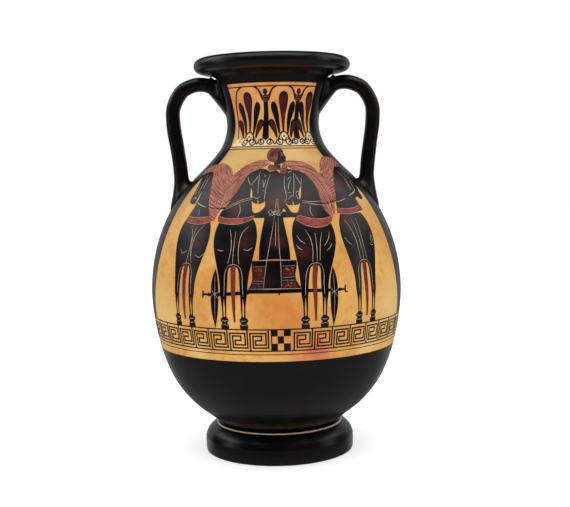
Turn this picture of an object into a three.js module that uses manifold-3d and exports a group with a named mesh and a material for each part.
// A two-handled clay storage jar (amphora of the pelike shape), built the way a potter builds it:
// a turned foot, two thrown body sections, a neck and a mouth ring, luted rim to rim, and two
// rolled handles, each pressed on with a collar of soft clay at the neck and at the shoulder.
// Millimetres, +Z up. The origin is the centre of the circle that the foot stands on, the jar's
// front faces -Y, and the handles lie along X.

import * as THREE from "three";
import { mergeVertices } from "three/addons/utils/BufferGeometryUtils.js";
import Module from "manifold-3d";

const wasm = await Module();
wasm.setup();

// ---- driving dimensions ----
const HEIGHT = 300;
const FOOT_HEIGHT = 22.7;
const JOINT_RADIUS = 45; // where the body sits on the foot
const BELLY_HEIGHT = 124; // widest level, and the seam between the two body sections
const BELLY_RADIUS = 95.6;
const NECK_SEAM_HEIGHT = 221.3;
const NECK_RADIUS = 34.9;
const MOUTH_SEAM_HEIGHT = 285.4;
const MOUTH_SEAM_RADIUS = 42.7;
const LIP_RADIUS = 59.3;
const WALL = 6; // thickness of the thrown wall, square to it
const FLOOR_THICKNESS = 6.5;
const LUTE_GAP = 0.3; // clearance where a shaped end seats on a curved wall
const HANDLE_THICKNESS = 10.8; // seen from the front
const HANDLE_WIDTH = 14; // seen from the side
const TURNS = 48; // facets round the axis

// ---- finishes ----
const SLIP_BLACK = { color: 0x141213, roughness: 0.32, metalness: 0 };
const CLAY_OCHRE = { color: 0xd9a45f, roughness: 0.6, metalness: 0 };
const material = (finish) => new THREE.MeshStandardMaterial(finish);

// ---- the outer line of the thrown wall, as radius and height, from the foot to the mouth ----
const WALL_LINE = [
  [JOINT_RADIUS, FOOT_HEIGHT],
  [54, 29.8],
  [66.2, 39.8],
  [78.5, 55.4],
  [87.4, 75.5],
  [93.2, 100],
  [BELLY_RADIUS, BELLY_HEIGHT],
  [93.4, 148],
  [86.9, 171],
  [76.6, 191],
  [62.6, 208],
  [49.2, NECK_SEAM_HEIGHT],
  [39, 234],
  [NECK_RADIUS, 248],
  [36.6, 263],
  [MOUTH_SEAM_RADIUS, MOUTH_SEAM_HEIGHT],
].map(([r, z]) => new THREE.Vector3(r, 0, z));
const wallCurve = new THREE.CatmullRomCurve3(WALL_LINE, false, "centripetal");
const lastIndex = WALL_LINE.length - 1;

// Points on the outer line from one control point to another, with so many steps between each.
function outerLine(from, to, steps) {
  const count = (to - from) * steps;
  return Array.from({ length: count + 1 }, (_, i) => {
    const t = (from + (i * (to - from)) / count) / lastIndex;
    return { at: wallCurve.getPoint(t), along: wallCurve.getTangent(t) };
  });
}

// The same stretch of the inner face, level with the outer points, so that seams stay flat.
function innerLine(line) {
  return line.map(({ at, along }) => {
    const square = Math.max(Math.abs(along.z), 0.55);
    return new THREE.Vector2(at.x - WALL / square, at.z);
  });
}

const flat = (line) => line.map(({ at }) => new THREE.Vector2(at.x, at.z));

// Turns a profile of radius and height round the Z axis.
function turned(profile) {
  const points = profile.map((p) => (p.isVector2 ? p : new THREE.Vector2(...p)));
  return new THREE.LatheGeometry(points, TURNS).rotateX(Math.PI / 2);
}

// A thrown section with an open top and bottom.
function thrownRing(from, to, steps) {
  const line = outerLine(from, to, steps);
  const outer = flat(line);
  return turned([...outer, ...innerLine(line).reverse(), outer[0].clone()]);
}

// ---- solids that manifold-3d cuts ----
function solidOf(geometry) {
  const bare = geometry.clone();
  for (const name of ["normal", "uv"]) bare.deleteAttribute(name);
  const merged = mergeVertices(bare, 1e-3);
  return new wasm.Manifold(
    new wasm.Mesh({
      numProp: 3,
      vertProperties: merged.attributes.position.array,
      triVerts: new Uint32Array(merged.index.array),
    }),
  );
}

function geometryOf(solid) {
  const { vertProperties, triVerts } = solid.getMesh();
  return new THREE.BufferGeometry()
    .setAttribute("position", new THREE.BufferAttribute(vertProperties, 3))
    .setIndex(new THREE.BufferAttribute(triVerts, 1));
}

// ---- foot: an echinus ring, hollow underneath ----
function foot() {
  const arris = 11.3; // height of the soft edge between the rounded top and the upright wall
  const resting = 48.5; // inner edge of the ring that touches the table
  return turned([
    [26, FOOT_HEIGHT],
    [JOINT_RADIUS, FOOT_HEIGHT],
    [48.7, 21.4],
    [52.3, 18.9],
    [55.3, 15.5],
    [57.2, arris],
    [57.3, 6.5],
    [57, 1.6],
    [55.6, 0],
    [resting, 0],
    [45.5, 1.2],
    [37, 10],
    [29, 17],
    [26, FOOT_HEIGHT],
  ].reverse());
}

// ---- thrown wall sections ----
const BELLY_INDEX = 6;
const NECK_INDEX = 11;

function lowerBody() {
  const line = outerLine(0, BELLY_INDEX, 2);
  const floor = FOOT_HEIGHT + FLOOR_THICKNESS;
  const inside = innerLine(line.slice(2)).reverse();
  return turned([[0, FOOT_HEIGHT], ...flat(line), ...inside, [38, floor], [0, floor]]);
}

// ---- mouth: a rounded overhanging ring ----
function mouthRing() {
  const throat = MOUTH_SEAM_RADIUS - WALL;
  return turned([
    [MOUTH_SEAM_RADIUS, MOUTH_SEAM_HEIGHT],
    [45.2, 287],
    [49, 288.2],
    [54, 289],
    [57.7, 290.7],
    [LIP_RADIUS, 293.8],
    [58.5, 297.2],
    [55.8, 299.4],
    [52, HEIGHT],
    [46.5, 299.3],
    [42, 297],
    [39, 292.5],
    [throat, MOUTH_SEAM_HEIGHT],
    [MOUTH_SEAM_RADIUS, MOUTH_SEAM_HEIGHT],
  ]);
}

// ---- handles ----
const HANDLE_LINE = [
  [27, 262],
  [33.5, 268.3],
  [38.5, 273],
  [44.3, 278],
  [50, 280.7],
  [57, 281.2],
  [63.5, 279.4],
  [69, 276],
  [75.5, 264.3],
  [75.9, 250.8],
  [73.6, 234],
  [71.7, 219],
  [71, 205],
  [71.2, 188],
].map(([r, z]) => new THREE.Vector3(r, 0, z));
const handleCurve = new THREE.CatmullRomCurve3(HANDLE_LINE, false, "centripetal");

// A softly squared oval, so wide across the path and so thick along the jar's radius.
function handleSection(width, thickness, sides) {
  const squareness = 2.3;
  const bend = (v) => Math.sign(v) * Math.abs(v) ** (2 / squareness);
  return new THREE.Shape(
    Array.from({ length: sides }, (_, i) => {
      const a = (2 * Math.PI * i) / sides;
      return new THREE.Vector2((width / 2) * bend(Math.cos(a)), (thickness / 2) * bend(Math.sin(a)));
    }),
  );
}

function rolledHandle(grow) {
  const section = handleSection(HANDLE_WIDTH + 2 * grow, HANDLE_THICKNESS + 2 * grow, 14);
  return new THREE.ExtrudeGeometry(section, { steps: 30, extrudePath: handleCurve });
}

// The jar's outer form as one plug, a little oversize, which the handles' ends and the collars are
// cut to. It ends in a flat disc just under the mouth ring.
function seat() {
  const line = flat(outerLine(0, lastIndex, 2)).slice(0, -1);
  const wall = line.map((p) => new THREE.Vector2(p.x + LUTE_GAP, p.y));
  const under = MOUTH_SEAM_HEIGHT - 1;
  return turned([[0, FOOT_HEIGHT], ...wall, [MOUTH_SEAM_RADIUS, under], [LIP_RADIUS, under],
    [LIP_RADIUS, HEIGHT], [0, HEIGHT]]);
}

// A collar of clay pressed round a handle's end: a trumpet whose mouth lies along the wall and
// whose axis runs up the handle. Its radii are in multiples of the handle's own half-section, and
// its heights in millimetres along the handle.
function collar(seatPoint, wallDirection, handleDirection, mouth, rise) {
  const grip = 1.14; // how far the collar's upper end stands out round the handle
  const steps = 6;
  const hollow = Array.from({ length: steps + 1 }, (_, i) => {
    const t = i / steps;
    return [grip + (mouth - grip) * (1 - t) ** 2.2, 0.8 + (rise - 0.8) * t];
  });
  const profile = [[0, -7], [mouth, -7], [mouth, 0], ...hollow, [0, rise]];
  const trumpet = new THREE.LatheGeometry(profile.map((p) => new THREE.Vector2(...p)), 24);
  const [x, z] = seatPoint;
  const up = new THREE.Vector3(handleDirection[0], 0, handleDirection[1]).normalize();
  const along = new THREE.Vector3(wallDirection[0], 0, wallDirection[1]).normalize();
  const across = new THREE.Vector3(0, -1, 0);
  const slant = Math.abs(up.clone().cross(along).y);
  along.multiplyScalar(HANDLE_THICKNESS / 2 / slant);
  across.multiplyScalar(HANDLE_WIDTH / 2);
  return trumpet.applyMatrix4(new THREE.Matrix4().makeBasis(across, up, along).setPosition(x, 0, z));
}

const plug = solidOf(seat());
const handleSolid = solidOf(rolledHandle(0)).subtract(plug);
const handleBore = solidOf(rolledHandle(LUTE_GAP));

// Cuts a collar to the wall and to the handle, and drops any crumb that the cut leaves.
function fitted(geometry) {
  const pieces = solidOf(geometry).subtract(plug).subtract(handleBore).decompose();
  return pieces.reduce((a, b) => (a.volume() > b.volume() ? a : b));
}

const neckCollar = fitted(collar([38.6, 273.1], [0.26, 1], [0.73, 0.68], 1.3, 9));
const shoulderCollar = fitted(collar([71.1, 198.4], [-0.66, 0.75], [0, 1], 1.75, 11));

// ---- the assembly ----
const jar = new THREE.Group();

function place(parent, name, geometry, finish) {
  const mesh = new THREE.Mesh(geometry, material(finish));
  mesh.name = name;
  parent.add(mesh);
}

place(jar, "foot", foot(), SLIP_BLACK);
place(jar, "lower_body", lowerBody(), SLIP_BLACK);
place(jar, "upper_body", thrownRing(BELLY_INDEX, NECK_INDEX, 2), CLAY_OCHRE);
place(jar, "neck", thrownRing(NECK_INDEX, lastIndex, 2), CLAY_OCHRE);
place(jar, "mouth_ring", mouthRing(), SLIP_BLACK);

// The two handles are alike, half a turn apart.
for (const [side, turn] of [["right", 0], ["left", Math.PI]]) {
  const mount = new THREE.Group();
  mount.rotation.z = turn;
  place(mount, `${side}_handle`, geometryOf(handleSolid), SLIP_BLACK);
  place(mount, `${side}_neck_collar`, geometryOf(neckCollar), SLIP_BLACK);
  place(mount, `${side}_shoulder_collar`, geometryOf(shoulderCollar), SLIP_BLACK);
  jar.add(mount);
}

export default jar;
